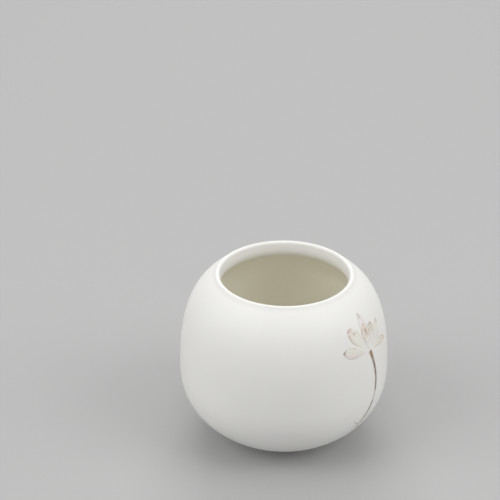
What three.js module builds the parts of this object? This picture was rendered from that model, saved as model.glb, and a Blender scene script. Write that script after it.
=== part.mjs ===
// A small round porcelain pot for standing brushes in, 85 mm across, with a narrow mouth, a satin
// white glaze outside, an ivory glaze inside and a lotus flower fired on to one side.
// Millimetres, +Z up. The origin is at the middle of the foot, on the surface the pot stands on.
// Angles round the pot are in degrees from -Y, turning towards +X.

import * as THREE from "three";

// The wall, from the foot to the lip
const DIAMETER = 85;
const BELLY_HEIGHT = 30.9;
const FOOT_RADIUS = 20.9;
const GLAZE_LINE_HEIGHT = 1.2;
const FOOT_SLOPE = 29;
const SHOULDER_RADIUS = 29.5;
const SHOULDER_HEIGHT = 70.85;
const SHOULDER_SLOPE = 35.4;
const LIP_HEIGHT = 72.8;
const LIP_RADIUS = 26.95;
const LIP_THICKNESS = 2.2;
const LIP_START = 36;
const LIP_END = 166;
const UNDER_SHOULDER_RADIUS = 28.8;
const UNDER_SHOULDER_HEIGHT = 64.2;
const UNDER_SHOULDER_SLOPE = 44.5;
const WALL = 3.6;
const FLOOR_HEIGHT = 4.5;
const FLOOR_RADIUS = 13;

// How far each curve of the wall holds on to its direction at its start and at its end
const REACH = {
  lowerWall: [15.8, 14.2],
  upperWall: [21.9, 10.7],
  collar: 1.45,
  neck: [5.2, 3.2],
  insideUpper: [11.8, 20],
  insideLower: [14.6, 12.5],
};

// The bare foot ring and the recess inside it
const RING_OUTER_RADIUS = 20.5;
const RING_INNER_RADIUS = 17.2;
const RING_BEVEL = 0.4;
const RECESS_DEPTH = 1.3;

// The glaze coats and the fired-on print
const GLAZE = 0.3;
const CLEARANCE = 0.02;
const INK = 0.08;
const INK_LAYER = 0.12;

// How finely the round shapes are divided
const ROUND_STEPS = 48;
const WALL_STEPS = 7;
const LIP_STEPS = 8;
const NECK_STEPS = 4;
const SHORT_STEPS = 2;
const PETAL_STEPS = { across: 4, along: 8 };
const STEM_STEPS = { across: 1, along: 28 };
const BLADE_STEPS = { across: 1, along: 7 };

// Lotus petals and blades of grass, each from its base to its tip: degrees round the pot, then
// height. Width and bend are in millimetres, and a bend to the right is positive. Layer 0 lies on
// the glaze and layer 1 over it.
const PETALS = [
  {
    name: "petal_top",
    colour: "petal_grey_pink",
    base: [52.2, 57],
    tip: [51.6, 66.2],
    width: 3.6,
    bend: 0.2,
    layer: 0,
  },
  {
    name: "petal_upper_left",
    colour: "petal_cream",
    base: [50.6, 53.6],
    tip: [40.3, 61.9],
    width: 4.4,
    bend: 0.3,
    layer: 0,
  },
  {
    name: "petal_upper_right",
    colour: "petal_cream",
    base: [57.4, 54.2],
    tip: [64.2, 62.4],
    width: 3.4,
    bend: -0.2,
    layer: 0,
  },
  {
    name: "petal_right",
    colour: "petal_cream",
    base: [58.6, 52.6],
    tip: [70.2, 58.6],
    width: 3.2,
    bend: 0.3,
    layer: 0,
  },
  {
    name: "petal_lower_right",
    colour: "petal_orange",
    base: [57.6, 51.4],
    tip: [74.2, 49.9],
    width: 2.2,
    bend: -0.5,
    layer: 0,
  },
  {
    name: "petal_lower_left",
    colour: "petal_blush",
    base: [51.6, 51.3],
    tip: [33.8, 55.2],
    width: 4.8,
    bend: -0.4,
    layer: 1,
  },
  {
    name: "petal_centre",
    colour: "petal_blush",
    base: [54, 52],
    tip: [55.8, 61.6],
    width: 4.6,
    bend: 0,
    layer: 1,
  },
];
const BLADES = [
  { name: "grass_upper", base: [47.2, 18.6], tip: [40.4, 23.6], width: 0.8, bend: 0.4, layer: 1 },
  { name: "grass_lower", base: [50.2, 16.4], tip: [42.6, 19.4], width: 0.9, bend: 0.3, layer: 1 },
  { name: "grass_right", base: [51.6, 17.6], tip: [57.4, 24.6], width: 0.7, bend: -0.4, layer: 1 },
];

const PETAL_NARROWEST = 0.12;
const PETAL_FULLNESS = 1.3;
const BLADE_TAPER = 0.8;

// The middle of the stem, from the flower down.
const STEM_ROUTE = [
  [54, 51],
  [57.6, 42],
  [58.4, 33.4],
  [54.3, 26.8],
  [48.2, 19.8],
];
const STEM_WIDTH = { top: 1.5, middle: 0.7, bottom: 0.5 };
const STEM_KNOB_SHARE = 0.12;

const COLOURS = {
  porcelain: 0xeae6dc,
  glaze_white: 0xf2f1ec,
  glaze_ivory: 0xe2dcc8,
  petal_grey_pink: 0xd9cfcb,
  petal_cream: 0xe6dfc6,
  petal_blush: 0xe3c6b8,
  petal_orange: 0xe0bd97,
  stem: 0x7d5a3c,
  grass: 0x8f836c,
};

const ROUGHNESS = { porcelain: 0.9, glaze: 0.45, ink: 0.5 };

const radians = THREE.MathUtils.degToRad;

/** A point of the half section: distance from the axis, then height. */
const at = (radius, height) => new THREE.Vector2(radius, height);

/** The point reached from another by going a distance at an angle above the outward direction. */
const from = (start, angle, distance) =>
  at(
    start.x + distance * Math.cos(radians(angle)),
    start.y + distance * Math.sin(radians(angle)),
  );

const UP = 90;
const DOWN = -90;

/** A curve that leaves one point at one angle and comes in to the other at another angle. */
const curved = (start, startAngle, end, endAngle, [startReach, endReach]) =>
  new THREE.CubicBezierCurve(
    start,
    from(start, startAngle, startReach),
    from(end, endAngle, -endReach),
    end,
  );

// Half section of the outside, going up, with the surface's outer side on the right.
const footEdge = at(FOOT_RADIUS, GLAZE_LINE_HEIGHT);
const belly = at(DIAMETER / 2, BELLY_HEIGHT);
const shoulder = at(SHOULDER_RADIUS, SHOULDER_HEIGHT);
const lipRound = LIP_THICKNESS / 2;
const lipCentre = at(LIP_RADIUS, LIP_HEIGHT - lipRound);
const lipStart = from(lipCentre, LIP_START, lipRound);

const lowerWall = curved(footEdge, FOOT_SLOPE, belly, UP, REACH.lowerWall);
const upperWall = curved(belly, UP, shoulder, UP * 2 - SHOULDER_SLOPE, REACH.upperWall);
const collar = new THREE.QuadraticBezierCurve(
  shoulder,
  from(shoulder, UP * 2 - SHOULDER_SLOPE, REACH.collar),
  lipStart,
);
const lip = new THREE.EllipseCurve(
  lipCentre.x,
  lipCentre.y,
  lipRound,
  lipRound,
  radians(LIP_START),
  radians(LIP_END),
);

// Half section of the inside, going down from the lip to the middle of the floor.
const mouthEdge = from(lipCentre, LIP_END, lipRound);
const underShoulder = at(UNDER_SHOULDER_RADIUS, UNDER_SHOULDER_HEIGHT);
const insideBelly = at(DIAMETER / 2 - WALL, BELLY_HEIGHT);
const floorEdge = at(FLOOR_RADIUS, FLOOR_HEIGHT);

const neck = curved(
  mouthEdge,
  LIP_END + UP,
  underShoulder,
  -UNDER_SHOULDER_SLOPE,
  REACH.neck,
);
const insideUpper = curved(
  underShoulder,
  -UNDER_SHOULDER_SLOPE,
  insideBelly,
  DOWN,
  REACH.insideUpper,
);
const insideLower = curved(insideBelly, DOWN, floorEdge, DOWN * 2, REACH.insideLower);
const floor = new THREE.LineCurve(floorEdge, at(0, FLOOR_HEIGHT));

const OUTSIDE = [
  [lowerWall, WALL_STEPS],
  [upperWall, WALL_STEPS],
  [collar, SHORT_STEPS],
  [lip, LIP_STEPS],
];
const INSIDE = [
  [neck, NECK_STEPS],
  [insideUpper, WALL_STEPS],
  [insideLower, WALL_STEPS],
  [floor, 1],
];

/** Points along a run of curves, moved into the clay by a depth at right angles to the surface. */
function section(curves, depth) {
  const points = [];
  for (const [curve, steps] of curves) {
    const first = points.length ? 1 : 0;
    for (let i = first; i <= steps; i += 1) {
      const along = curve.getTangent(i / steps);
      const place = curve.getPoint(i / steps);
      points.push(at(Math.max(0, place.x - depth * along.y), place.y + depth * along.x));
    }
  }
  return points;
}

/** A solid of revolution about +Z from a half section that goes round its outline anticlockwise. */
function turned(points) {
  const geometry = new THREE.LatheGeometry(points, ROUND_STEPS);
  geometry.rotateX(Math.PI / 2);
  return geometry;
}

/** A half section that ends where it started, so that the turned ring is closed. */
const closed = (points) => [...points, points[0].clone()];

/** The porcelain: wall, floor and bare foot ring, all under the glaze. */
function potBody() {
  const underGlaze = GLAZE + CLEARANCE;
  const recess = RECESS_DEPTH + underGlaze;
  return turned([
    at(0, recess),
    at(RING_INNER_RADIUS - RING_BEVEL, recess),
    at(RING_INNER_RADIUS, recess - RING_BEVEL),
    at(RING_INNER_RADIUS + RING_BEVEL / 2, RING_BEVEL / 2),
    at(RING_INNER_RADIUS + RING_BEVEL, 0),
    at(RING_OUTER_RADIUS - RING_BEVEL, 0),
    at(RING_OUTER_RADIUS, RING_BEVEL),
    ...section([...OUTSIDE, ...INSIDE], underGlaze),
  ]);
}

/** The white coat, from just above the foot to the inner edge of the lip. */
function outerGlaze() {
  return turned(closed([...section(OUTSIDE, 0), ...section(OUTSIDE, GLAZE).reverse()]));
}

/** The ivory coat, from the inner edge of the lip down over the floor. */
function innerGlaze() {
  const outside = section(INSIDE, GLAZE).reverse();
  const inside = section(INSIDE, 0);
  for (const edge of [outside.at(-1), inside[0]]) edge.y -= CLEARANCE;
  return turned([...outside, ...inside]);
}

/** The coat on the underside, inside the foot ring. */
function baseGlaze() {
  const radius = RING_INNER_RADIUS - 2 * RING_BEVEL;
  return turned([
    at(0, RECESS_DEPTH),
    at(radius - GLAZE, RECESS_DEPTH),
    at(radius, RECESS_DEPTH + GLAZE / 2),
    at(radius, RECESS_DEPTH + GLAZE),
    at(0, RECESS_DEPTH + GLAZE),
  ]);
}

/** The place on the outside at an angle round the pot and a height, lifted off the glaze. */
function onGlaze(angle, height, lift) {
  const wall = height > BELLY_HEIGHT ? upperWall : lowerWall;
  let low = 0;
  let high = 1;
  while (high - low > 1e-6) {
    const middle = (low + high) / 2;
    if (wall.getPoint(middle).y < height) low = middle;
    else high = middle;
  }
  const along = wall.getTangent(low);
  const place = wall.getPoint(low);
  const radius = place.x + lift * along.y;
  return new THREE.Vector3(
    radius * Math.sin(radians(angle)),
    -radius * Math.cos(radians(angle)),
    place.y - lift * along.x,
  );
}

// Millimetres round the belly for each degree.
const MM_PER_DEGREE = radians(DIAMETER / 2);

/**
 * A thin piece of print that follows the pot. It runs along a route in millimetres round the belly
 * and up, and widthAt gives its width at a share of the way.
 */
function printed(route, widthAt, steps, layer) {
  const geometry = new THREE.BoxGeometry(1, 1, 1, steps.across, steps.along, 1);
  const places = geometry.attributes.position;
  for (let i = 0; i < places.count; i += 1) {
    const share = places.getY(i) + 0.5;
    const middle = route.getPoint(share);
    const along = route.getTangent(share);
    const sideways = places.getX(i) * widthAt(share);
    const lift = CLEARANCE + layer * INK_LAYER + (places.getZ(i) + 0.5) * INK;
    const angle = (middle.x + sideways * along.y) / MM_PER_DEGREE;
    const place = onGlaze(angle, middle.y - sideways * along.x, lift);
    places.setXYZ(i, place.x, place.y, place.z);
  }
  return geometry;
}

/** Where an angle and a height lie when the belly is rolled out flat. */
const rolledOut = ([angle, height]) => at(angle * MM_PER_DEGREE, height);

/** The middle line of a petal or a blade, bowed to one side. */
function bowed({ base, tip, bend }) {
  const start = rolledOut(base);
  const end = rolledOut(tip);
  const along = end.clone().sub(start).normalize();
  const side = at(along.y, -along.x).multiplyScalar(2 * bend);
  return new THREE.QuadraticBezierCurve(start, start.clone().lerp(end, 0.5).add(side), end);
}

/** A petal, widest past its middle and pointed at its tip. */
function petal(shape) {
  const widthAt = (share) =>
    shape.width * Math.max(PETAL_NARROWEST, Math.sin(Math.PI * share ** PETAL_FULLNESS));
  return printed(bowed(shape), widthAt, PETAL_STEPS, shape.layer);
}

/** A blade of grass, which only tapers. */
function blade(shape) {
  const widthAt = (share) => shape.width * (1 - BLADE_TAPER * share);
  return printed(bowed(shape), widthAt, BLADE_STEPS, shape.layer);
}

/** The stem, thick under the flower and thin below. */
function stem() {
  const route = new THREE.SplineCurve(STEM_ROUTE.map(rolledOut));
  const { top, middle, bottom } = STEM_WIDTH;
  const widthAt = (share) =>
    share < STEM_KNOB_SHARE
      ? THREE.MathUtils.lerp(top, middle, share / STEM_KNOB_SHARE)
      : THREE.MathUtils.lerp(middle, bottom, share);
  return printed(route, widthAt, STEM_STEPS, 0);
}

const pot = new THREE.Group();

/** Adds a named piece with its own material. */
function add(name, geometry, colour, roughness) {
  const material = new THREE.MeshStandardMaterial({
    color: COLOURS[colour],
    roughness,
    metalness: 0,
  });
  const mesh = new THREE.Mesh(geometry, material);
  mesh.name = name;
  pot.add(mesh);
}

add("pot_body", potBody(), "porcelain", ROUGHNESS.porcelain);
add("outer_glaze", outerGlaze(), "glaze_white", ROUGHNESS.glaze);
add("inner_glaze", innerGlaze(), "glaze_ivory", ROUGHNESS.glaze);
add("base_glaze", baseGlaze(), "glaze_white", ROUGHNESS.glaze);
for (const shape of PETALS) add(shape.name, petal(shape), shape.colour, ROUGHNESS.ink);
add("lotus_stem", stem(), "stem", ROUGHNESS.ink);
for (const shape of BLADES) add(shape.name, blade(shape), "grass", ROUGHNESS.ink);

export default pot;
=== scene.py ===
"""A small round porcelain pot for standing brushes in, with a lotus fired on to one side."""

import logging
import math
from abc import ABC, abstractmethod
from collections.abc import Callable
from dataclasses import dataclass, fields
from enum import Enum
from typing import ClassVar

import bpy
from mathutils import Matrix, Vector, noise


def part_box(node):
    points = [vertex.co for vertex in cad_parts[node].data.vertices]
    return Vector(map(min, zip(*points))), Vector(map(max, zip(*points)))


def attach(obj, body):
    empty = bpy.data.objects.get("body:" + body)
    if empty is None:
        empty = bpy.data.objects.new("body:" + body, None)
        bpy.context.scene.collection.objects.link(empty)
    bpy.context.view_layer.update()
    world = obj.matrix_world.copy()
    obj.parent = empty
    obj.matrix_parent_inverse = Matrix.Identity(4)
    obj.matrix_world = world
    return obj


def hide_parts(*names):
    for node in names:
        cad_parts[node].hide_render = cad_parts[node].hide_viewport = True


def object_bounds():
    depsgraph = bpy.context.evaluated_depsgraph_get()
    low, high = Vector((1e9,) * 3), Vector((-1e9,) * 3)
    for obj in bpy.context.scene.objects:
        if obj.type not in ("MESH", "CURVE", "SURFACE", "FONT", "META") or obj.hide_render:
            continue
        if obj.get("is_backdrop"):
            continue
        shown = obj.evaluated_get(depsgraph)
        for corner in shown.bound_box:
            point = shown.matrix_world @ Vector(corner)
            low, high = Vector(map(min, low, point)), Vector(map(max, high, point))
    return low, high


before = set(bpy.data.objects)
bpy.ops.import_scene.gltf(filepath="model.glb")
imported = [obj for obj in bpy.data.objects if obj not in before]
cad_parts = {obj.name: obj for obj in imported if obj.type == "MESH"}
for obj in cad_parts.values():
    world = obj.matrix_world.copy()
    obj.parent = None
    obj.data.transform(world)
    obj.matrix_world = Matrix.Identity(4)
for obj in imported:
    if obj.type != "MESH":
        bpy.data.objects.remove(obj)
cad_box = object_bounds()

log = logging.getLogger("brush_pot")

MM = 0.001
UP = 90.0
DOWN = -90.0
HALF_TURN = 180.0
LEVEL_TILT = math.pi / 2
ON_AXIS = 0.001 * MM
GLAZE_DEPTH = 0.3 * MM
HAND_WAVE = 0.07 * MM
HAND_WAVE_PITCH = 26.0 * MM
BODY = "root"
PRINT_COORDINATES = "print"

Colour = tuple[float, float, float]
Socket = bpy.types.NodeSocket
Value = float | Socket
Tint = Colour | Socket


class Slot(Enum):
    """Names of the material slots."""

    PORCELAIN = "porcelain"
    GLAZE_WHITE = "glaze_white"
    GLAZE_IVORY = "glaze_ivory"
    PETAL_GREY_PINK = "petal_grey_pink"
    PETAL_CREAM = "petal_cream"
    PETAL_BLUSH = "petal_blush"
    PETAL_ORANGE = "petal_orange"
    STEM_BROWN = "stem_brown"
    GRASS_BROWN = "grass_brown"


# Half sections, whose points are the distance from the axis and then the height


def place_from(start: Vector, angle: float, distance: float) -> Vector:
    """Goes from a point of the half section at an angle, in degrees, above the outward direction."""
    turn = math.radians(angle)
    return start + distance * Vector((math.cos(turn), math.sin(turn)))


class Stretch(ABC):
    """A stretch of a half section, with the surface's outer side on its right."""

    @abstractmethod
    def place(self, share: float) -> Vector:
        """Gives the point at a share of the way."""

    @abstractmethod
    def along(self, share: float) -> Vector:
        """Gives the unit direction at a share of the way."""

    def moved(self, share: float, lift: float) -> Vector:
        """Gives the point at a share of the way, lifted off the surface."""
        way = self.along(share)
        return self.place(share) + lift * Vector((way.y, -way.x))


@dataclass(frozen=True)
class Bend(Stretch):
    """A cubic curve that leaves one point at one angle and comes in to another at another."""

    start: Vector
    start_angle: float
    end: Vector
    end_angle: float
    reach: tuple[float, float]

    def handles(self) -> tuple[Vector, Vector, Vector, Vector]:
        """Gives the curve's control points.

        Returns:
            The start, the two points that it bends towards, and the end.
        """
        return (
            self.start,
            place_from(self.start, self.start_angle, self.reach[0]),
            place_from(self.end, self.end_angle, -self.reach[1]),
            self.end,
        )

    def place(self, share: float) -> Vector:
        """Gives the point at a share of the way.

        Args:
            share: Share of the way, from 0 to 1.

        Returns:
            Distance from the axis, then height.
        """
        a, b, c, d = self.handles()
        rest = 1 - share
        return rest**3 * a + 3 * rest**2 * share * b + 3 * rest * share**2 * c + share**3 * d

    def along(self, share: float) -> Vector:
        """Gives the unit direction at a share of the way.

        Args:
            share: Share of the way, from 0 to 1.

        Returns:
            The direction.
        """
        a, b, c, d = self.handles()
        rest = 1 - share
        way = rest**2 * (b - a) + 2 * rest * share * (c - b) + share**2 * (d - c)
        return way.normalized()


@dataclass(frozen=True)
class Arc(Stretch):
    """Part of a circle, going anticlockwise."""

    centre: Vector
    radius: float
    start_angle: float
    end_angle: float

    def angle(self, share: float) -> float:
        """Gives the angle in degrees at a share of the way."""
        return self.start_angle + share * (self.end_angle - self.start_angle)

    def place(self, share: float) -> Vector:
        """Gives the point at a share of the way."""
        return place_from(self.centre, self.angle(share), self.radius)

    def along(self, share: float) -> Vector:
        """Gives the unit direction at a share of the way."""
        return place_from(Vector((0, 0)), self.angle(share) + UP, 1)


@dataclass(frozen=True)
class Straight(Stretch):
    """A straight line between two points."""

    start: Vector
    end: Vector

    def place(self, share: float) -> Vector:
        """Gives the point at a share of the way."""
        return self.start.lerp(self.end, share)

    def along(self, share: float) -> Vector:
        """Gives the unit direction at a share of the way."""
        return (self.end - self.start).normalized()


def rows(
    run: list[tuple[Stretch, int]],
    lift: Callable[[float], float] | float = 0.0,
) -> list[Vector]:
    """Divides a run of stretches into points.

    Args:
        run: Each stretch and how many steps it is divided into.
        lift: Distance out of the surface, or a function that gives it from the share of the
            last stretch that has been passed.

    Returns:
        The points, without doubles where two stretches meet.
    """
    points: list[Vector] = []
    for number, (stretch, steps) in enumerate(run):
        last = number == len(run) - 1
        for step in range(1 if points else 0, steps + 1):
            share = step / steps
            amount = lift(share if last else 0.0) if callable(lift) else lift
            points.append(stretch.moved(share, amount))
    return points


@dataclass(frozen=True)
class PotShape:
    """The pot's half section, in metres. The driving radii come from the frame.

    Slopes and angles are in degrees above the outward direction. A reach is how far a curve holds
    on to its direction at its start and at its end.
    """

    belly_radius: float
    inside_radius: float
    recess_radius: float
    height: float = 72.8 * MM
    belly_height: float = 30.9 * MM
    foot_radius: float = 20.9 * MM
    glaze_line: float = 1.2 * MM
    foot_slope: float = 29.0
    lower_reach: tuple[float, float] = (15.8 * MM, 14.2 * MM)
    shoulder: tuple[float, float] = (29.5 * MM, 70.85 * MM)
    shoulder_slope: float = 35.4
    upper_reach: tuple[float, float] = (21.9 * MM, 10.7 * MM)
    collar_reach: tuple[float, float] = (0.97 * MM, 0.55 * MM)
    lip_radius: float = 26.95 * MM
    lip_round: float = 1.1 * MM
    lip_start: float = 36.0
    lip_end: float = 166.0
    neck_reach: tuple[float, float] = (5.2 * MM, 3.2 * MM)
    under_shoulder: tuple[float, float] = (28.8 * MM, 64.2 * MM)
    under_shoulder_slope: float = 44.5
    inside_upper_reach: tuple[float, float] = (11.8 * MM, 20.0 * MM)
    inside_lower_reach: tuple[float, float] = (14.6 * MM, 12.5 * MM)
    floor_height: float = 4.5 * MM
    floor_radius: float = 13.0 * MM
    ring_radii: tuple[float, float] = (17.2 * MM, 20.5 * MM)
    recess_depth: float = 1.3 * MM

    @classmethod
    def from_frame(cls) -> "PotShape":
        """Reads the driving radii off the CAD nodes.

        Returns:
            The shape, in the frame's own place.
        """
        return cls(
            belly_radius=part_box("outer_glaze")[1].x,
            inside_radius=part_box("inner_glaze")[1].x - GLAZE_DEPTH,
            recess_radius=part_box("base_glaze")[1].x,
        )

    @property
    def belly(self) -> Vector:
        """Gives the widest point of the outside."""
        return Vector((self.belly_radius, self.belly_height))

    @property
    def inside_belly(self) -> Vector:
        """Gives the widest point of the inside."""
        return Vector((self.inside_radius, self.belly_height))

    @property
    def floor_edge(self) -> Vector:
        """Gives the point where the wall runs out into the flat floor."""
        return Vector((self.floor_radius, self.floor_height))

    @property
    def lip_centre(self) -> Vector:
        """Gives the middle of the lip's round."""
        return Vector((self.lip_radius, self.height - self.lip_round))

    @property
    def lower_wall(self) -> Bend:
        """Gives the outside from the glaze line to the belly."""
        start = Vector((self.foot_radius, self.glaze_line))
        return Bend(start, self.foot_slope, self.belly, UP, self.lower_reach)

    @property
    def upper_wall(self) -> Bend:
        """Gives the outside from the belly to the shoulder."""
        slope = HALF_TURN - self.shoulder_slope
        return Bend(self.belly, UP, Vector(self.shoulder), slope, self.upper_reach)

    @property
    def collar(self) -> Bend:
        """Gives the small hollow between the shoulder and the lip.

        Returns:
            The stretch.
        """
        slope = HALF_TURN - self.shoulder_slope
        lip_foot = place_from(self.lip_centre, self.lip_start, self.lip_round)
        end_slope = UP + self.lip_start
        return Bend(Vector(self.shoulder), slope, lip_foot, end_slope, self.collar_reach)

    @property
    def lip(self) -> Arc:
        """Gives the rounded lip, from the outside over to the inside."""
        return Arc(self.lip_centre, self.lip_round, self.lip_start, self.lip_end)

    @property
    def neck(self) -> Bend:
        """Gives the inside from the lip to under the shoulder.

        Returns:
            The stretch.
        """
        start = place_from(self.lip_centre, self.lip_end, self.lip_round)
        end = Vector(self.under_shoulder)
        return Bend(start, self.lip_end + UP, end, -self.under_shoulder_slope, self.neck_reach)

    @property
    def inside_upper(self) -> Bend:
        """Gives the inside from under the shoulder to the belly."""
        start, slope = Vector(self.under_shoulder), -self.under_shoulder_slope
        return Bend(start, slope, self.inside_belly, DOWN, self.inside_upper_reach)

    @property
    def inside_lower(self) -> Bend:
        """Gives the inside from the belly to the floor."""
        return Bend(self.inside_belly, DOWN, self.floor_edge, -HALF_TURN, self.inside_lower_reach)

    @property
    def floor(self) -> Straight:
        """Gives the floor, from its edge to the middle."""
        return Straight(self.floor_edge, Vector((0, self.floor_height)))

    @property
    def outside(self) -> tuple[Stretch, ...]:
        """Gives the stretches from the glaze line over the lip."""
        return self.lower_wall, self.upper_wall, self.collar, self.lip

    @property
    def inside(self) -> tuple[Stretch, ...]:
        """Gives the stretches from the lip to the middle of the floor."""
        return self.neck, self.inside_upper, self.inside_lower, self.floor

    def on_outside(self, angle: float, height: float, lift: float) -> Vector:
        """Finds a place on the outside, where the print goes.

        Args:
            angle: Radians round the pot from -Y, turning towards +X.
            height: Height above the foot.
            lift: Distance out of the glaze.

        Returns:
            The place, with the glaze's own unevenness.
        """
        wall = self.upper_wall if height > self.belly_height else self.lower_wall
        low, high = 0.0, 1.0
        while high - low > 1e-6:
            middle = (low + high) / 2
            if wall.place(middle).y < height:
                low = middle
            else:
                high = middle
        return uneven(swung(wall.place(low), angle), swung(wall.moved(low, lift), angle))


def swung(point: Vector, angle: float) -> Vector:
    """Turns a point of the half section round the axis, by radians from -Y towards +X."""
    return Vector((point.x * math.sin(angle), -point.x * math.cos(angle), point.y))


def uneven(nominal: Vector, place: Vector) -> Vector:
    """Moves a place with the slow unevenness that slip casting leaves.

    Args:
        nominal: The place on the even surface, which picks the amount.
        place: The place to move, straight out from the axis or in to it.

    Returns:
        The moved place.
    """
    outward = Vector((place.x, place.y, 0))
    if outward.length < MM:
        return place
    amount = HAND_WAVE * noise.noise(nominal / HAND_WAVE_PITCH)
    return place + amount * outward.normalized()


# Meshes


def mesh_piece(
    name: str,
    places: list[Vector],
    faces: list[tuple[int, ...]],
    coordinates: list[tuple[float, float]] | None = None,
) -> bpy.types.Object:
    """Makes a smooth-shaded mesh object.

    Args:
        name: The piece's name.
        places: Its vertices, in the frame.
        faces: Its faces, anticlockwise from outside.
        coordinates: Across and along coordinates for each vertex, if it carries a print.

    Returns:
        The object, in the scene.
    """
    mesh = bpy.data.meshes.new(name)
    mesh.from_pydata([tuple(p) for p in places], [], faces)
    mesh.polygons.foreach_set("use_smooth", [True] * len(mesh.polygons))
    if coordinates:
        layer = mesh.uv_layers.new(name=PRINT_COORDINATES)
        for loop in mesh.loops:
            layer.data[loop.index].uv = coordinates[loop.vertex_index]
    mesh.update()
    piece = bpy.data.objects.new(name, mesh)
    bpy.context.scene.collection.objects.link(piece)
    return piece


def turned(
    name: str,
    section: list[Vector],
    steps: int,
    wave: Callable[[Vector], Vector] | None = None,
) -> bpy.types.Object:
    """Turns a half section round the axis into a closed solid.

    Args:
        name: The piece's name.
        section: Points that go round the section anticlockwise. It either starts and ends on
            the axis or closes on itself.
        steps: Steps round the circle.
        wave: Moves each place, if the surface is uneven.

    Returns:
        The turned piece.
    """
    places: list[Vector] = []
    rings: list[list[int]] = []
    for point in section:
        if point.x < ON_AXIS:
            rings.append([len(places)] * steps)
            places.append(Vector((0, 0, point.y)))
            continue
        rings.append(list(range(len(places), len(places) + steps)))
        for step in range(steps):
            place = swung(point, math.tau * step / steps)
            places.append(wave(place) if wave else place)
    pairs = list(zip(rings, rings[1:]))
    if section[0].x > ON_AXIS:
        pairs.append((rings[-1], rings[0]))
    faces: list[tuple[int, ...]] = []
    for below, above in pairs:
        for step in range(steps):
            following = (step + 1) % steps
            corners = (below[step], below[following], above[following], above[step])
            face = tuple(dict.fromkeys(corners))
            if len(face) > 2:
                faces.append(face)
    return mesh_piece(name, places, faces)


# Shader nodes


class Kind(Enum):
    """What a socket of a node group carries."""

    COLOUR = "NodeSocketColor"
    NUMBER = "NodeSocketFloat"


class Drawing:
    """A node tree that is being drawn, with short ways to add and join nodes."""

    def __init__(self, tree: bpy.types.NodeTree) -> None:
        """Starts on a tree."""
        self.tree = tree

    def node(self, kind: str, **settings: object) -> bpy.types.Node:
        """Adds a node.

        Args:
            kind: The node's type name.
            settings: Its own properties.

        Returns:
            The node.
        """
        made = self.tree.nodes.new(kind)
        for key, value in settings.items():
            setattr(made, key, value)
        return made

    def feed(self, socket: Socket, value: Value | Tint) -> None:
        """Sets an input to a number or a colour, or joins another node's output to it.

        Args:
            socket: The input.
            value: A number, a colour or an output.
        """
        if isinstance(value, bpy.types.NodeSocket):
            self.tree.links.new(value, socket)
        elif isinstance(value, tuple):
            socket.default_value = (*value, 1.0)
        else:
            socket.default_value = value

    def place_on_object(self) -> Socket:
        """Gives the place on the object, in metres."""
        return self.node("ShaderNodeTexCoord").outputs["Object"]

    def apart(self, where: Socket) -> tuple[Socket, Socket, Socket]:
        """Splits a place into its three numbers.

        Args:
            where: The place.

        Returns:
            The first, second and third number.
        """
        split = self.node("ShaderNodeSeparateXYZ")
        self.feed(split.inputs[0], where)
        return split.outputs[0], split.outputs[1], split.outputs[2]

    def maths(
        self, operation: str, first: Value, second: Value = 0.0, third: Value = 0.0
    ) -> Socket:
        """Adds a sum.

        Args:
            operation: The sum's name.
            first: First number.
            second: Second number, if the sum takes one.
            third: Third number, if the sum takes one.

        Returns:
            The result.
        """
        made = self.node("ShaderNodeMath", operation=operation)
        for socket, value in zip(made.inputs, (first, second, third)):
            self.feed(socket, value)
        return made.outputs[0]

    def product(self, *values: Value) -> Socket:
        """Multiplies numbers together.

        Args:
            values: Two or more numbers.

        Returns:
            The product.
        """
        result = values[0]
        for value in values[1:]:
            result = self.maths("MULTIPLY", result, value)
        return result

    def step(self, value: Value, low: Value, high: Value) -> Socket:
        """Rises smoothly from 0 to 1 between two values, or falls if low is over high.

        Args:
            value: The number that is read.
            low: Where the result is 0.
            high: Where the result is 1.

        Returns:
            The rise.
        """
        made = self.node("ShaderNodeMapRange", interpolation_type="SMOOTHSTEP")
        self.feed(made.inputs["Value"], value)
        self.feed(made.inputs["From Min"], low)
        self.feed(made.inputs["From Max"], high)
        return made.outputs[0]

    def blend(self, share: Value, first: Tint, second: Tint) -> Socket:
        """Mixes two colours.

        Args:
            share: Share of the second colour.
            first: First colour.
            second: Second colour.

        Returns:
            The mixed colour.
        """
        made = self.node("ShaderNodeMix", data_type="RGBA")
        self.feed(made.inputs[0], share)
        self.feed(made.inputs[6], first)
        self.feed(made.inputs[7], second)
        return made.outputs[2]

    def grain(self, where: Socket, pitch: float, detail: float = 2.0) -> Socket:
        """Adds soft noise from 0 to 1.

        Args:
            where: The coordinates that it is read at.
            pitch: Size of its blots, in the coordinates' units.
            detail: How many finer octaves it has.

        Returns:
            The noise.
        """
        made = self.node("ShaderNodeTexNoise")
        self.feed(made.inputs["Vector"], where)
        self.feed(made.inputs["Scale"], 1 / pitch)
        self.feed(made.inputs["Detail"], detail)
        return made.outputs["Fac"]

    def relief(self, shader: bpy.types.Node, height: Socket, depth: float) -> None:
        """Gives a shader a fine relief.

        Args:
            shader: The shader.
            height: Height of the relief, from about 0 to 1.
            depth: What a height of 1 stands for, in metres.
        """
        made = self.node("ShaderNodeBump")
        self.feed(made.inputs["Strength"], 1.0)
        self.feed(made.inputs["Distance"], depth)
        self.feed(made.inputs["Height"], height)
        self.feed(shader.inputs["Normal"], made.outputs["Normal"])


def sockets(colours: tuple[str, ...] = (), numbers: tuple[str, ...] = ()) -> dict[str, Kind]:
    """Lists a side of a node group, with its colours before its numbers."""
    return dict.fromkeys(colours, Kind.COLOUR) | dict.fromkeys(numbers, Kind.NUMBER)


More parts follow.
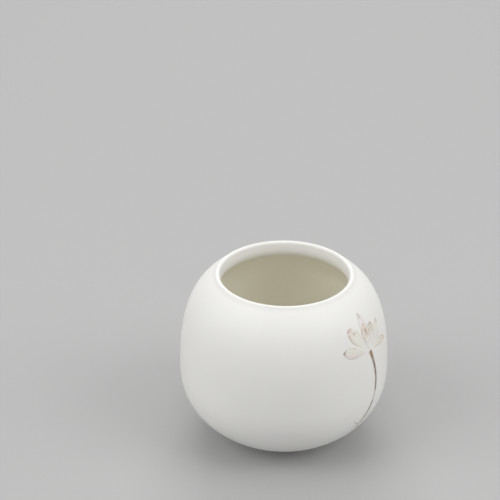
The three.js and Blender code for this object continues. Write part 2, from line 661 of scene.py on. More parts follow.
def opened_group(
    name: str, inputs: dict[str, Kind], outputs: dict[str, Kind]
) -> tuple[Drawing, bpy.types.Node, bpy.types.Node]:
    """Starts a node group.

    Args:
        name: The group's name.
        inputs: Its inputs, with what each carries.
        outputs: Its outputs, with what each carries.

    Returns:
        The group's drawing, the node that gives its inputs and the node that takes its outputs.
    """
    group = bpy.data.node_groups.new(name, "ShaderNodeTree")
    for side, sockets in (("INPUT", inputs), ("OUTPUT", outputs)):
        for label, kind in sockets.items():
            group.interface.new_socket(label, in_out=side, socket_type=kind.value)
    draw = Drawing(group)
    return draw, draw.node("NodeGroupInput"), draw.node("NodeGroupOutput")


CLOUD_PITCH = 14 * MM
PIT_PITCH = 2.6 * MM
PIT_PATCH_PITCH = 9 * MM
PEEL_PITCH = 1.1 * MM
RIPPLE_PITCH = 4.5 * MM
PIT_COLOUR = (0.52, 0.47, 0.38)


def glaze_skin() -> bpy.types.NodeTree:
    """Builds the skin that every glazed or printed surface has: cloudy tone, pinholes and ripple.

    Returns:
        The node group.
    """
    draw, given, result = opened_group(
        "glaze_skin",
        sockets(("Colour", "Shade"), ("Mottle", "Pinholes")),
        sockets(("Colour",), ("Gloss", "Height")),
    )
    where = draw.place_on_object()

    cloud = draw.grain(where, CLOUD_PITCH, detail=3)
    drift = draw.step(cloud, 0.35, 0.75)
    pooled = draw.product(drift, given.outputs["Mottle"])
    mottled = draw.blend(pooled, given.outputs["Colour"], given.outputs["Shade"])

    pits = draw.node("ShaderNodeTexVoronoi", feature="F1")
    draw.feed(pits.inputs["Vector"], where)
    draw.feed(pits.inputs["Scale"], 1 / PIT_PITCH)
    dot = draw.step(pits.outputs["Distance"], 0.075, 0.03)
    rare = draw.step(draw.grain(where, PIT_PATCH_PITCH, detail=1), 0.56, 0.64)
    pinhole = draw.product(dot, rare, given.outputs["Pinholes"])
    speckled = draw.blend(pinhole, mottled, PIT_COLOUR)

    peel = draw.grain(where, PEEL_PITCH, detail=2)
    ripple = draw.grain(where, RIPPLE_PITCH, detail=1)
    skin = draw.maths("MULTIPLY_ADD", ripple, 0.7, peel)
    draw.feed(result.inputs["Colour"], speckled)
    draw.feed(result.inputs["Gloss"], draw.maths("SUBTRACT", cloud, 0.5))
    draw.feed(result.inputs["Height"], draw.maths("SUBTRACT", skin, pinhole))
    return draw.tree


def print_place() -> bpy.types.NodeTree:
    """Builds the way in which every mark of the print finds its place across and along itself.

    Along goes from 0 at the mark's start to 1 at its end. Inwards goes from 0 at either side to 1
    in the middle, and Far from 0 on the left of the way to 1 on its right.

    Returns:
        The node group.
    """
    draw, _, result = opened_group(
        "print_place", {}, sockets(numbers=("Along", "Inwards", "Far", "Streaks"))
    )
    where = draw.node("ShaderNodeUVMap", uv_map=PRINT_COORDINATES).outputs["UV"]
    across, along, _ = draw.apart(where)
    off_middle = draw.maths("ABSOLUTE", draw.maths("MULTIPLY_ADD", across, 2, -1))
    streak = draw.node("ShaderNodeTexWave", wave_type="BANDS", bands_direction="X")
    draw.feed(streak.inputs["Vector"], where)
    draw.feed(streak.inputs["Scale"], 0.8)
    draw.feed(streak.inputs["Distortion"], 0.6)
    draw.feed(result.inputs["Along"], along)
    draw.feed(result.inputs["Inwards"], draw.maths("SUBTRACT", 1, off_middle))
    draw.feed(result.inputs["Far"], draw.step(across, 0.35, 0.7))
    draw.feed(result.inputs["Streaks"], draw.step(streak.outputs["Fac"], 0.8, 1.0))
    return draw.tree


PETAL_BLOT_PITCH = 1.6 * MM
PETAL_SPECK_PITCH = 0.35 * MM


def petal_brushwork() -> bpy.types.NodeTree:
    """Builds a petal's brushwork: a pale wash, a tinted tip, faint veins and a broken outline.

    It fades to the ground at the petal's border.

    Returns:
        The node group.
    """
    draw, given, result = opened_group(
        "petal_brushwork",
        sockets(
            ("Ground", "Wash", "Far Wash", "Tip", "Line", "Far Line"),
            ("Wash Amount", "Tip Amount", "Tip From", "Line Amount", "Vein Amount"),
        ),
        sockets(("Colour",)),
    )
    on_mark = Shared.PRINT_PLACE.placed(draw, {})
    along, inwards, far = (on_mark.outputs[name] for name in ("Along", "Inwards", "Far"))
    where = draw.place_on_object()
    blot = draw.grain(where, PETAL_BLOT_PITCH, detail=3)
    speck = draw.grain(where, PETAL_SPECK_PITCH, detail=2)

    inside = draw.product(
        draw.step(inwards, 0.02, 0.12), draw.step(along, 0.0, 0.16), draw.step(along, 1.0, 0.985)
    )
    pale_heart = draw.step(inwards, 0.95, 0.25)
    wash = draw.product(
        inside,
        draw.maths("MULTIPLY_ADD", pale_heart, 0.4, 0.6),
        draw.step(blot, 0.15, 0.6),
        given.outputs["Wash Amount"],
    )
    tip = draw.product(
        inside,
        draw.step(along, given.outputs["Tip From"], 1.0),
        draw.step(blot, 0.3, 0.55),
        given.outputs["Tip Amount"],
    )
    veins = draw.product(
        inside,
        on_mark.outputs["Streaks"],
        draw.step(along, 0.15, 0.5),
        draw.step(blot, 0.35, 0.6),
        given.outputs["Vein Amount"],
    )
    edge = draw.product(
        draw.step(inwards, 0.03, 0.09),
        draw.step(inwards, 0.3, 0.1),
        draw.step(along, 0.15, 0.6),
        draw.step(draw.maths("MULTIPLY_ADD", speck, 0.4, blot), 0.48, 0.75),
        given.outputs["Line Amount"],
    )
    line = draw.blend(far, given.outputs["Line"], given.outputs["Far Line"])
    tint = draw.blend(far, given.outputs["Wash"], given.outputs["Far Wash"])
    washed = draw.blend(wash, given.outputs["Ground"], tint)
    tipped = draw.blend(tip, washed, given.outputs["Tip"])
    veined = draw.blend(veins, tipped, line)
    draw.feed(result.inputs["Colour"], draw.blend(edge, veined, line))
    return draw.tree


STROKE_BLOT_PITCH = 2.8 * MM
STROKE_SPECK_PITCH = 0.22 * MM
DRY_REACH = 0.11
DRY_CORE = 0.03


def stroke_brushwork() -> bpy.types.NodeTree:
    """Builds a stroke's brushwork: ragged sides, worn patches, a dry stretch and a fading end.

    Returns:
        The node group.
    """
    draw, given, result = opened_group(
        "stroke_brushwork",
        sockets(
            ("Ground", "Start", "Middle", "End"),
            ("Turn", "Strength", "Fade From", "Faded", "Dry At", "Dry"),
        ),
        sockets(("Colour",)),
    )
    on_mark = Shared.PRINT_PLACE.placed(draw, {})
    along = on_mark.outputs["Along"]
    where = draw.place_on_object()
    blot = draw.grain(where, STROKE_BLOT_PITCH, detail=3)
    speck = draw.grain(where, STROKE_SPECK_PITCH, detail=2)

    solid = draw.maths("ADD", on_mark.outputs["Inwards"], 0.15)
    body = draw.product(
        draw.step(draw.maths("MULTIPLY_ADD", speck, -0.5, solid), 0.0, 0.3),
        draw.step(along, 0.0, 0.02),
        draw.step(along, 1.0, 0.97),
    )
    worn = draw.maths("MULTIPLY_ADD", draw.step(blot, 0.35, 0.6), 0.22, 0.78)
    late = draw.step(along, given.outputs["Fade From"], 1.0)
    lost = draw.product(late, draw.maths("SUBTRACT", 1.0, given.outputs["Faded"]))
    left = draw.maths("SUBTRACT", 1.0, lost)
    off_dry = draw.maths("ABSOLUTE", draw.maths("SUBTRACT", along, given.outputs["Dry At"]))
    dry = draw.product(draw.step(off_dry, DRY_REACH, DRY_CORE), given.outputs["Dry"])
    kept = draw.maths("SUBTRACT", 1.0, dry)
    ink = draw.product(body, worn, left, kept, given.outputs["Strength"])
    turned_at = draw.step(along, 0.0, given.outputs["Turn"])
    early = draw.blend(turned_at, given.outputs["Start"], given.outputs["Middle"])
    colour = draw.blend(late, early, given.outputs["End"])
    draw.feed(result.inputs["Colour"], draw.blend(ink, given.outputs["Ground"], colour))
    return draw.tree


class Shared(Enum):
    """The node groups that more than one finish uses."""

    GLAZE_SKIN = "glaze_skin"
    PRINT_PLACE = "print_place"
    PETAL_BRUSHWORK = "petal_brushwork"
    STROKE_BRUSHWORK = "stroke_brushwork"

    def placed(self, draw: Drawing, values: dict[str, Value | Tint]) -> bpy.types.Node:
        """Puts the group in a tree, and builds it the first time.

        Args:
            draw: The tree.
            values: What goes into its inputs.

        Returns:
            The group's node.
        """
        builders = {
            Shared.GLAZE_SKIN: glaze_skin,
            Shared.PRINT_PLACE: print_place,
            Shared.PETAL_BRUSHWORK: petal_brushwork,
            Shared.STROKE_BRUSHWORK: stroke_brushwork,
        }
        tree = bpy.data.node_groups.get(self.value) or builders[self]()
        made = draw.node("ShaderNodeGroup", node_tree=tree)
        for label, value in values.items():
            draw.feed(made.inputs[label], value)
        return made


class Finish(ABC):
    """What a surface is made of, as a material."""

    name: str

    def material(self) -> bpy.types.Material:
        """Builds the material, or finds it if it is built.

        Returns:
            The material.
        """
        found = bpy.data.materials.get(self.name)
        if found:
            return found
        made = bpy.data.materials.new(self.name)
        made.use_nodes = True
        self.paint(Drawing(made.node_tree), made.node_tree.nodes["Principled BSDF"])
        return made

    @abstractmethod
    def paint(self, draw: Drawing, shader: bpy.types.Node) -> None:
        """Draws the nodes that feed the shader."""


@dataclass(frozen=True)
class Glaze(Finish):
    """A satin glaze over porcelain, which may pass from one colour to another inside the neck: a
    paler, warmer painted glow of light that bounces in the hollow and shines through the thin wall.
    """

    name: str
    colour: Colour
    shade: Colour
    roughness: float
    mottle: float = 0.35
    pinholes: float = 0.5
    painted_glow_colour: Colour | None = None
    painted_glow_shade: Colour | None = None
    deep_from: float = 0.0
    deep_to: float = 0.0
    skin_depth: float = 0.012 * MM
    gloss_swing: float = 0.18

    def skin(self, draw: Drawing) -> bpy.types.Node:
        """Draws the glaze's skin.

        Args:
            draw: The tree.

        Returns:
            The skin group's node.
        """
        colour: Tint = self.colour
        shade: Tint = self.shade
        # The paler, warmer colours deeper in the neck are a painted glow of light that bounces
        # inside the pot and shines through its wall.
        if self.painted_glow_colour and self.painted_glow_shade:
            height = draw.apart(draw.place_on_object())[2]
            depth = draw.step(height, self.deep_from, self.deep_to)
            colour = draw.blend(depth, self.colour, self.painted_glow_colour)
            shade = draw.blend(depth, self.shade, self.painted_glow_shade)
        values = {
            "Colour": colour,
            "Shade": shade,
            "Mottle": self.mottle,
            "Pinholes": self.pinholes,
        }
        return Shared.GLAZE_SKIN.placed(draw, values)

    def gloss(self, draw: Drawing, shader: bpy.types.Node, skin: bpy.types.Node) -> None:
        """Draws the roughness and the skin's relief.

        Args:
            draw: The tree.
            shader: The shader that they feed.
            skin: The skin group's node.
        """
        rough = draw.maths("MULTIPLY_ADD", skin.outputs["Gloss"], self.gloss_swing, self.roughness)
        draw.feed(shader.inputs["Roughness"], rough)
        draw.relief(shader, skin.outputs["Height"], self.skin_depth)

    def paint(self, draw: Drawing, shader: bpy.types.Node) -> None:
        """Draws the nodes that feed the shader.

        Args:
            draw: The tree.
            shader: The shader.
        """
        skin = self.skin(draw)
        draw.feed(shader.inputs["Base Color"], skin.outputs["Colour"])
        self.gloss(draw, shader, skin)


@dataclass(frozen=True)
class Biscuit(Finish):
    """Bare fired porcelain, dry and faintly gritty, as the foot ring is."""

    name: str
    colour: Colour
    grime: Colour
    roughness: float
    grit_pitch: float = 0.35 * MM
    grit_depth: float = 0.025 * MM
    stain_pitch: float = 5 * MM
    stain_amount: float = 0.5

    def paint(self, draw: Drawing, shader: bpy.types.Node) -> None:
        """Draws the nodes that feed the shader.

        Args:
            draw: The tree.
            shader: The shader.
        """
        where = draw.place_on_object()
        grit = draw.grain(where, self.grit_pitch, detail=4)
        stain = draw.step(draw.grain(where, self.stain_pitch, detail=3), 0.45, 0.7)
        soiled = draw.blend(draw.product(stain, self.stain_amount), self.colour, self.grime)
        rough = draw.maths("MULTIPLY_ADD", grit, 0.2, self.roughness)
        draw.feed(shader.inputs["Base Color"], soiled)
        draw.feed(shader.inputs["Roughness"], rough)
        draw.relief(shader, grit, self.grit_depth)


@dataclass(frozen=True)
class Ink(Finish):
    """Ink that is fired on to a glaze.

    Each field of a kind of ink is the input of the same name on its brushwork group.
    """

    brushwork: ClassVar[Shared]

    name: str
    ground: Glaze

    def paint(self, draw: Drawing, shader: bpy.types.Node) -> None:
        """Draws the nodes that feed the shader.

        Args:
            draw: The tree.
            shader: The shader.
        """
        skin = self.ground.skin(draw)
        values = {"Ground": skin.outputs["Colour"]}
        for field in fields(self)[len(fields(Ink)) :]:
            values[field.name.replace("_", " ").title()] = getattr(self, field.name)
        worked = self.brushwork.placed(draw, values)
        draw.feed(shader.inputs["Base Color"], worked.outputs["Colour"])
        self.ground.gloss(draw, shader, skin)


@dataclass(frozen=True)
class PetalInk(Ink):
    """Ink of one petal.

    The far wash and line are on the right of the way from the petal's base to its tip.
    """

    brushwork = Shared.PETAL_BRUSHWORK

    wash: Colour
    far_wash: Colour
    tip: Colour
    line: Colour
    far_line: Colour
    wash_amount: float = 0.85
    tip_amount: float = 0.9
    tip_from: float = 0.6
    line_amount: float = 0.55
    vein_amount: float = 0.16


@dataclass(frozen=True)
class StrokeInk(Ink):
    """Ink of one brush stroke, which fades towards its end.

    It may also run dry for a stretch, which dry_at places as a share of the way.
    """

    brushwork = Shared.STROKE_BRUSHWORK

    start: Colour
    middle: Colour
    end: Colour
    turn: float = 0.2
    strength: float = 0.95
    fade_from: float = 0.55
    faded: float = 0.6
    dry_at: float = 0.5
    dry: float = 0.0


@dataclass(frozen=True)
class Paper(Finish):
    """The pale matt sheet that the pot stands on."""

    name: str
    colour: Colour
    fibre_pitch: float = 1.5 * MM
    fibre_lift: float = 1.03

    def paint(self, draw: Drawing, shader: bpy.types.Node) -> None:
        """Draws the nodes that feed the shader.

        Args:
            draw: The tree.
            shader: The shader.
        """
        fibre = draw.grain(draw.place_on_object(), self.fibre_pitch, detail=4)
        lighter = tuple(min(1.0, channel * self.fibre_lift) for channel in self.colour)
        draw.feed(shader.inputs["Base Color"], draw.blend(fibre, self.colour, lighter))
        draw.feed(shader.inputs["Roughness"], 0.9)
        draw.feed(shader.inputs["Specular IOR Level"], 0.2)


WHITE_GLAZE = Glaze(
    "white_glaze",
    colour=(0.86, 0.853, 0.828),
    shade=(0.835, 0.825, 0.79),
    roughness=0.5,
)
# Inside glaze: the same white at the lip, then paler and warmer from 69 mm down to 63 mm, a painted
# glow that stands in for light bouncing inside and shining through the wall.
INSIDE_GLAZE_PAINTED_GLOW = Glaze(
    "inside_glaze_painted_glow",
    colour=(0.86, 0.853, 0.828),
    shade=(0.835, 0.825, 0.79),
    roughness=0.5,
    painted_glow_colour=(0.935, 0.91, 0.805),
    painted_glow_shade=(0.92, 0.885, 0.76),
    deep_from=69 * MM,
    deep_to=63 * MM,
)
BASE_GLAZE = Glaze(
    "base_glaze",
    colour=(0.84, 0.83, 0.8),
    shade=(0.8, 0.785, 0.74),
    roughness=0.42,
    mottle=0.7,
    pinholes=1.0,
)
BARE_PORCELAIN = Biscuit(
    "bare_porcelain", colour=(0.8, 0.765, 0.69), grime=(0.66, 0.6, 0.5), roughness=0.72
)


# The pot


def declare(
    piece: bpy.types.Object, finish: Finish, slot: Slot, nodes: tuple[str, ...] = ()
) -> bpy.types.Object:
    """Dresses a piece and ties it to the frame.

    Args:
        piece: The piece.
        finish: What it is made of.
        slot: A material slot, which is not used.
        nodes: The CAD nodes that it stands for.

    Returns:
        The piece.
    """
    piece.data.materials.append(finish.material())
    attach(piece, BODY)
    if nodes:
        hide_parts(*nodes)
    log.info("%s: %d faces", piece.name, len(piece.data.polygons))
    return piece


@dataclass(frozen=True)
class GlazedPot:
    """The porcelain body and its three coats of glaze."""

    shape: PotShape
    glaze: float = GLAZE_DEPTH
    lap: float = 0.04 * MM
    sunk: float = 0.8
    tail_share: float = 0.3
    tail_reach: float = 0.6 * MM
    bead_angles: tuple[float, float] = (150.0, 15.0)
    foot_bevel: float = 0.4 * MM
    recess_round: float = 0.1 * MM
    dish_rise: float = 0.1 * MM
    bevel_steps: int = 6
    dish_steps: int = 24
    round_steps: int = 240
    fine_round_steps: int = 320

    def build(self) -> None:
        """Builds and dresses the four pieces."""
        declare(self.body(), BARE_PORCELAIN, Slot.PORCELAIN, ("pot_body",))
        declare(self.outer_coat(), WHITE_GLAZE, Slot.GLAZE_WHITE, ("outer_glaze",))
        declare(self.inner_coat(), INSIDE_GLAZE_PAINTED_GLOW, Slot.GLAZE_IVORY, ("inner_glaze",))
        declare(self.base_coat(), BASE_GLAZE, Slot.GLAZE_WHITE, ("base_glaze",))

    def wave(self, place: Vector) -> Vector:
        """Moves a place of a coat with the unevenness of the wall."""
        return uneven(place, place)

    def body(self) -> bpy.types.Object:
        """Turns the porcelain, whose foot ring is all that shows.

        Returns:
            The piece.
        """
        shape = self.shape
        inner, outer = shape.ring_radii
        recess = shape.recess_depth + self.glaze
        bevel = self.foot_bevel
        foot_inside = Arc(Vector((inner + bevel, bevel)), bevel, 180, 270)
        foot_outside = Arc(Vector((outer - bevel, bevel)), bevel, 270, 360)
        ring = [
            Vector((0, recess)),
            Vector((inner - bevel, recess)),
            Vector((inner - self.recess_round, recess - self.recess_round)),
            *rows([(foot_inside, self.bevel_steps)]),
            *rows([(foot_outside, self.bevel_steps)]),
        ]
        wall = [
            *zip(shape.outside, (16, 16, 3, 8)),
            *zip(shape.inside, (4, 12, 12, 2)),
        ]
        return turned("porcelain_body", ring + rows(wall, -self.glaze), self.round_steps)

    def outer_coat(self) -> bpy.types.Object:
        """Turns the white coat, which thins out just inside the neck.

        Returns:
            The piece.
        """
        shape = self.shape
        neck = shape.neck
        tail = Bend(
            neck.place(0),
            self.slope(neck, 0),
            neck.place(self.tail_share),
            self.slope(neck, self.tail_share),
            (self.tail_reach, self.tail_reach),
        )
        stretches = (*shape.outside, tail)
        face = rows(list(zip(stretches, (72, 84, 8, 24, 8))), lambda share: -self.lap * share**2)
        back = rows(list(zip(stretches, (12, 12, 2, 6, 2))), -self.glaze)
        section = [*self.bead(shape.lower_wall), *face, *reversed(back)]
        return turned("outer_glaze_coat", section, self.fine_round_steps, self.wave)

    def slope(self, stretch: Stretch, share: float) -> float:
        """Gives a stretch's angle in degrees at a share of the way."""
        way = stretch.along(share)
        return math.degrees(math.atan2(way.y, way.x))

    def bead(self, wall: Stretch) -> list[Vector]:
        """Rounds the coat's lower edge, where the glaze stops above the foot.

        Args:
            wall: The stretch that starts at the edge.

        Returns:
            Points from the coat's back round to its face.
        """
        middle = wall.moved(0, -self.glaze / 2)
        facing = self.slope(wall, 0) - UP
        start, end = self.bead_angles
        edge = Arc(middle, self.glaze / 2, facing - start, facing - end)
        return rows([(edge, self.bevel_steps)])

    def inner_coat(self) -> bpy.types.Object:
        """Turns the inside coat, from under the end of the white one to the floor, with a painted
        glow of light deep in the neck.

        Returns:
            The piece.
        """
        stretches = self.shape.inside
        face = rows(list(zip(stretches, (28, 48, 48, 10))), -self.sunk * self.lap)
        back = rows(list(zip(stretches, (4, 10, 10, 2))), -self.glaze)
        return turned("inner_glaze_coat", [*reversed(back), *face], self.round_steps, self.wave)

    def base_coat(self) -> bpy.types.Object:
        """Turns the coat in the recess under the pot.

        Returns:
            The piece.
        """
        depth = self.shape.recess_depth
        radius = self.shape.recess_radius
        edge = Arc(Vector((radius - self.glaze, depth + self.glaze)), self.glaze, 270, 360)
        middle = Vector((0, depth + self.dish_rise))
        dish = Straight(middle, Vector((radius - self.glaze, depth)))
        run = [(dish, self.dish_steps), (edge, self.bevel_steps)]
        section = [*rows(run), Vector((0, depth + self.glaze))]
        return turned("base_glaze_coat", section, self.round_steps)


# The print


@dataclass(frozen=True)
class Mark:
    """One area of the print, which runs along a route on the pot.

    A route lists places, each as degrees round the pot from -Y and millimetres of height: where the
    mark starts, the points that it bends towards, and where it ends. Steps go across the mark and
    along it. A mark that is in_cad stands for the CAD node of the same name.
    """

    name: str
    route: tuple[tuple[float, float], ...]
    width: float
    layer: int
    finish: Finish
    slot: Slot
    in_cad: bool = True
    steps: tuple[int, int] = (6, 140)

    def widened(self, share: float) -> float:
        """Gives the share of the full width at a share of the way."""
        return 1.0


@dataclass(frozen=True)
class Petal(Mark):
    """A petal, with its fullest width past its middle and a point at its tip."""

    steps: tuple[int, int] = (16, 72)
    fullness: float = 1.25
    roundness: float = 0.8
    least_width: float = 0.02

    def widened(self, share: float) -> float:
        """Gives the share of the full width at a share of the way."""
        swell = math.sin(math.pi * share**self.fullness)
        return max(self.least_width, swell) ** self.roundness


@dataclass(frozen=True)
class Stroke(Mark):
    """A brush stroke, with a heavy start and a taper."""

    heavy: float = 1.0
    heavy_share: float = 0.12
    taper: float = 0.5

    def widened(self, share: float) -> float:
        """Gives the share of the full width at a share of the way."""
        start = 1 + (self.heavy - 1) * math.exp(-((share / self.heavy_share) ** 2))
        return start * (1 - self.taper * share)


@dataclass(frozen=True)
class LotusPrint:
    """The lotus that is fired on to the pot: petals, a stem and blades of grass."""

    shape: PotShape
    marks: tuple[Mark, ...]
    bed: float = 0.02 * MM
    layer_step: float = 0.012 * MM
    first_lift: float = 0.015 * MM

    def build(self) -> None:
        """Builds and dresses every mark."""
        for mark in self.marks:
            declare(self.laid(mark), mark.finish, mark.slot, (mark.name,) if mark.in_cad else ())

    def rolled_out(self, place: tuple[float, float]) -> Vector:
        """Gives a place's distance round the belly and height, in metres."""
        return Vector((math.radians(place[0]) * self.shape.belly_radius, place[1] * MM))

    def route_point(self, route: list[Vector], share: float) -> tuple[Vector, Vector]:
        """Follows a smooth curve with any number of control points.

        Args:
            route: The control points. The curve starts at the first and ends at the last.
            share: Share of the way.

        Returns:
            The point and the unit direction there.
        """
        points = route
        while len(points) > 2:
            points = [a.lerp(b, share) for a, b in zip(points, points[1:])]
        return points[0].lerp(points[1], share), (points[1] - points[0]).normalized()

    def laid(self, mark: Mark) -> bpy.types.Object:
        """Lays a mark on the pot as a thin closed sheet.

        Args:
            mark: The mark.

        Returns:
            The piece.
        """
        across, along = mark.steps
        route = [self.rolled_out(place) for place in mark.route]
        top = self.first_lift + mark.layer * self.layer_step
        places: list[Vector] = []
        coordinates: list[tuple[float, float]] = []
        for lift in (-self.bed, top):
            for row in range(along + 1):
                share = row / along
                middle, way = self.route_point(route, share)
                side = Vector((way.y, -way.x)) * mark.width * mark.widened(share)
                for column in range(across + 1):
                    point = middle + side * (column / across - 0.5)
                    angle = point.x / self.shape.belly_radius
                    places.append(self.shape.on_outside(angle, point.y, lift))
                    coordinates.append((column / across, share))
        return mesh_piece(mark.name, places, self.sheet_faces(across, along), coordinates)

    def sheet_faces(self, across: int, along: int) -> list[tuple[int, ...]]:
        """Lists the faces of a thin closed sheet: its back, its face and its rim.

        Args:
            across: Steps across it.
            along: Steps along it.

        Returns:
            The faces.
        """
        row = across + 1
        face_start = row * (along + 1)
        faces: list[tuple[int, ...]] = []
        for j in range(along):
            for i in range(across):
                a = j * row + i
                back = (a, a + row, a + row + 1, a + 1)
                faces.append(back)
                faces.append(tuple(face_start + k for k in reversed(back)))
        rim = (
            list(range(across))
            + [j * row + across for j in range(along)]
            + [along * row + i for i in range(across, 0, -1)]
            + [j * row for j in range(along, 0, -1)]
        )
        for a, b in zip(rim, rim[1:] + rim[:1]):
            faces.append((a, b, face_start + b, face_start + a))
        return faces


CREAM = (0.81, 0.785, 0.675)
SAND = (0.79, 0.74, 0.66)
MAUVE = (0.77, 0.72, 0.68)
PEACH = (0.8, 0.69, 0.59)
BLUSH = (0.79, 0.68, 0.63)
ROSE = (0.68, 0.48, 0.45)
GREY_ROSE = (0.6, 0.54, 0.52)
RUST = (0.42, 0.2, 0.12)
UMBER = (0.2, 0.13, 0.08)
OLIVE = (0.36, 0.3, 0.15)
ORANGE = (0.75, 0.47, 0.25)
GOLD = (0.7, 0.54, 0.38)
GOLD_BROWN = (0.36, 0.21, 0.08)
BROWN = (0.2, 0.115, 0.07)


def petal_marks(ground: Glaze) -> tuple[Mark, ...]:
    """Lists the lotus's petals, from the back one to the front one.

    Args:
        ground: The glaze that they lie on.

    Returns:
        The petals.
    """

    def ink(petal: str, *colours: Colour, **amounts: float) -> PetalInk:
        """Mixes one petal's ink: wash, far wash, tip, line and far line."""
        return PetalInk(f"petal_{petal}_ink", ground, *colours, **amounts)

    top = ink(
        "top", MAUVE, BLUSH, GREY_ROSE, GREY_ROSE, GREY_ROSE, wash_amount=0.5, line_amount=0.4
    )
    right = ink(
        "right", PEACH, CREAM, OLIVE, PEACH, OLIVE, wash_amount=0.55, tip_amount=0.45, tip_from=0.75
    )
    upper_right = ink("upper_right", CREAM, PEACH, OLIVE, OLIVE, RUST, tip_amount=0.6)
    upper_left = ink("upper_left", CREAM, CREAM, ROSE, OLIVE, OLIVE, tip_from=0.5)
    lower_right = ink("lower_right", CREAM, PEACH, ORANGE, OLIVE, ORANGE, tip_amount=0.7)
    lower_left = ink("lower_left", BLUSH, CREAM, UMBER, GREY_ROSE, OLIVE, tip_from=0.84)
    centre = ink("centre", SAND, BLUSH, ROSE, RUST, RUST, tip_amount=0.75, tip_from=0.56)
    return (
        Petal(
            "petal_top",
            ((52.3, 54.5), (54.4, 61), (53.1, 66.2)),
            width=4.6 * MM, layer=0, finish=top, slot=Slot.PETAL_GREY_PINK,
        ),
        Petal(
            "petal_right",
            ((57.2, 51.8), (63.6, 54.4), (69.3, 60.2)),
            width=5.0 * MM, layer=1, finish=right, slot=Slot.PETAL_CREAM,
        ),
        Petal(
            "petal_upper_right",
            ((56.4, 52.2), (61.6, 56.2), (60.2, 61.6)),
            width=4.4 * MM, layer=2, finish=upper_right, slot=Slot.PETAL_CREAM,
        ),
        Petal(
            "petal_upper_left",
            ((52.2, 51.6), (44.0, 60.8), (39.3, 62.2)),
            width=5.4 * MM, layer=1, finish=upper_left, slot=Slot.PETAL_CREAM,
        ),
        Petal(
            "petal_lower_right",
            ((56, 50.8), (66, 52.2), (75.2, 49.6)),
            width=3.4 * MM, layer=3, finish=lower_right, slot=Slot.PETAL_ORANGE,
        ),
        Petal(
            "petal_lower_left",
            ((52.6, 50.9), (42.0, 53.6), (33.6, 55.2)),
            width=4.7 * MM, layer=2, finish=lower_left, slot=Slot.PETAL_BLUSH,
            fullness=1.7,
        ),
        Petal(
            "petal_centre",
            ((54.0, 50.8), (53.2, 57), (54.6, 62.2)),
            width=5.9 * MM, layer=4, finish=centre, slot=Slot.PETAL_BLUSH,
            fullness=1.8, roundness=0.75,
        ),
    )


def touch_marks(ground: Glaze) -> tuple[Mark, ...]:
    """Lists the brush touches and folds inside the petals, which the CAD model doesn't have.

    Args:
        ground: The glaze that they lie on.

    Returns:
        The touches.
    """
    dab = StrokeInk("dab_ink", ground, UMBER, RUST, OLIVE, strength=0.7)
    glow = StrokeInk("glow_ink", ground, PEACH, GOLD, CREAM, fade_from=0.6, strength=0.75)
    fold = StrokeInk("fold_ink", ground, OLIVE, OLIVE, OLIVE, strength=0.5)
    return (
        Stroke(
            "glow_centre",
            ((54.0, 61.2), (54.4, 58.6), (54.8, 55.4)),
            width=3.6 * MM, layer=5, finish=glow, slot=Slot.PETAL_BLUSH, in_cad=False,
            taper=0.2,
        ),
        Stroke(
            "dab_centre",
            ((53.8, 60.0), (54.6, 58.9), (55.0, 57.4)),
            width=1.8 * MM, layer=6, finish=dab, slot=Slot.PETAL_BLUSH, in_cad=False,
        ),
        Stroke(
            "dab_upper_left",
            ((43.6, 60.9), (44.4, 60.4), (45.4, 60.2)),
            width=0.9 * MM, layer=5, finish=dab, slot=Slot.PETAL_CREAM, in_cad=False,
        ),
        Stroke(
            "dab_lower_right",
            ((67.8, 51.8), (67.4, 50.6), (66.8, 49.4)),
            width=0.9 * MM, layer=5, finish=fold, slot=Slot.PETAL_ORANGE, in_cad=False,
        ),
        Stroke(
            "fold_upper_right",
            ((58.2, 60.8), (60.4, 59.0), (59.2, 57.4), (61.8, 54.0)),
            width=1.0 * MM, layer=5, finish=fold, slot=Slot.PETAL_CREAM, in_cad=False,
            taper=0.4,
        ),
    )


def line_marks(ground: Glaze) -> tuple[Mark, ...]:
    """Lists the stem and the blades of grass.

    Args:
        ground: The glaze that they lie on.

    Returns:
        The stem, then the blades.
    """
    brown = StrokeInk(
        "stem_ink", ground, GOLD_BROWN, BROWN, BROWN, fade_from=0.7, faded=0.7, dry_at=0.6, dry=0.6
    )
    sepia = StrokeInk("grass_ink", ground, UMBER, OLIVE, CREAM, faded=0.4, strength=0.75)
    return (
        Stroke(
            "lotus_stem",
            ((54.2, 51.4), (58.6, 42), (61.8, 31), (55, 26), (46.6, 18.2)),
            width=1.6 * MM, layer=7, finish=brown, slot=Slot.STEM_BROWN,
            heavy=1.5, heavy_share=0.1, taper=0.1,
        ),
        Stroke(
            "grass_upper",
            ((48.0, 18.2), (44, 20), (40.4, 23.8)),
            width=0.8 * MM, layer=2, finish=sepia, slot=Slot.GRASS_BROWN,
            taper=0.8,
        ),
        Stroke(
            "grass_lower",
            ((51.0, 16.0), (47, 17.5), (42.4, 19.6)),
            width=0.9 * MM, layer=1, finish=sepia, slot=Slot.GRASS_BROWN,
            taper=0.8,
        ),
        Stroke(
            "grass_right",
            ((51.4, 17.4), (55, 20), (57.6, 24.8)),
            width=0.8 * MM, layer=0, finish=sepia, slot=Slot.GRASS_BROWN,
            taper=0.8,
        ),
    )


# The studio


@dataclass(frozen=True)
class SoftBox:
    """A large square lamp that points at the pot."""

    name: str
    place: tuple[float, float, float]
    side: float
    power: float

    def build(self, target: Vector) -> None:
        """Hangs the lamp.

        Args:
            target: What it points at.
        """
        lamp = bpy.data.lights.new(self.name, "AREA")
        lamp.shape = "SQUARE"
        lamp.size = self.side
        lamp.energy = self.power
        holder = bpy.data.objects.new(self.name, lamp)
        holder.location = self.place
        holder.rotation_euler = (target - Vector(self.place)).to_track_quat("-Z", "Y").to_euler()
        bpy.context.scene.collection.objects.link(holder)


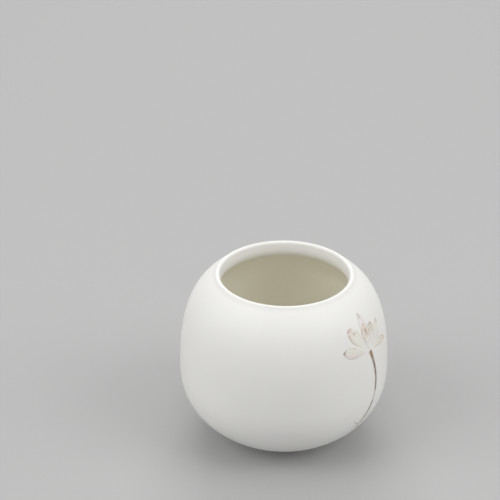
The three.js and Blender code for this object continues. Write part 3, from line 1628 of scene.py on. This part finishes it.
@dataclass(frozen=True)
class Studio:
    """A pale floor, soft light from above and a camera that looks down at the pot."""

    floor_side: float = 3.2
    floor_colour: Colour = (0.45, 0.45, 0.448)
    sky_colour: Colour = (1.0, 1.0, 1.0)
    sky_strength: float = 0.35
    lens: float = 105.15
    sensor: float = 36.0
    elevation: float = 28.11
    distance: float = 0.6
    clip_start: float = 10 * MM
    aim: tuple[float, float, float] = (-13.82 * MM, 19.82 * MM, 72.31 * MM)
    lamps: tuple[SoftBox, ...] = (
        SoftBox("overhead", (0.0, 0.0, 1.1), 1.1, 3.3),
        SoftBox("front", (0.0, -1.5, 0.9), 1.2, 2.7),
        SoftBox("high_left", (-1.1, -0.5, 1.1), 0.9, 6.8),
        SoftBox("high_right", (1.1, -0.5, 1.1), 0.9, 6.7),
        SoftBox("back", (0.0, 1.3, 1.0), 1.0, 9.0),
        SoftBox("low_left", (-1.3, 0.1, 0.35), 0.7, 2.0),
        SoftBox("low_right", (1.3, 0.1, 0.35), 0.7, 2.2),
    )

    def build(self) -> None:
        """Builds the floor, the light and the camera."""
        bpy.context.scene.view_settings.view_transform = "Standard"
        self.lay_floor()
        self.light()
        self.set_camera()

    def lay_floor(self) -> None:
        """Lays the floor under the pot."""
        ends = (-self.floor_side / 2, self.floor_side / 2)
        corners = [Vector((x, y, 0)) for y in ends for x in ends]
        floor = mesh_piece("floor", corners, [(0, 1, 3, 2)])
        floor.data.materials.append(Paper("floor_paper", self.floor_colour).material())
        floor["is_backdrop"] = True

    def light(self) -> None:
        """Sets the surrounding light and hangs the lamps."""
        sky = bpy.data.worlds.new("sky")
        sky.use_nodes = True
        background = sky.node_tree.nodes["Background"]
        background.inputs["Color"].default_value = (*self.sky_colour, 1.0)
        background.inputs["Strength"].default_value = self.sky_strength
        bpy.context.scene.world = sky
        target = (cad_box[0] + cad_box[1]) / 2
        for lamp in self.lamps:
            lamp.build(target)

    def set_camera(self) -> None:
        """Puts the camera in front of the pot, looking down."""
        lens = bpy.data.cameras.new("camera")
        lens.lens = self.lens
        lens.sensor_width = self.sensor
        lens.clip_start = self.clip_start
        holder = bpy.data.objects.new("camera", lens)
        slope = math.radians(self.elevation)
        back = Vector((0, -math.cos(slope), math.sin(slope)))
        holder.location = Vector(self.aim) + self.distance * back
        holder.rotation_euler = (LEVEL_TILT - slope, 0, 0)
        bpy.context.scene.collection.objects.link(holder)
        bpy.context.scene.camera = holder


def write_sizes() -> None:
    """Gathers the CAD model's box and the visual model's box into plain lists."""
    boxes = {"cad": cad_box, "visual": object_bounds()}
    plain = {name: [list(corner) for corner in box] for name, box in boxes.items()}


def main() -> None:
    """Builds the studio, the pot and its print."""
    logging.basicConfig(level=logging.INFO, format="%(message)s")
    Studio().build()
    shape = PotShape.from_frame()
    GlazedPot(shape).build()
    marks = [*petal_marks(WHITE_GLAZE), *touch_marks(WHITE_GLAZE), *line_marks(WHITE_GLAZE)]
    LotusPrint(shape, tuple(marks)).build()
    write_sizes()


if __name__ == "__main__":
    main()
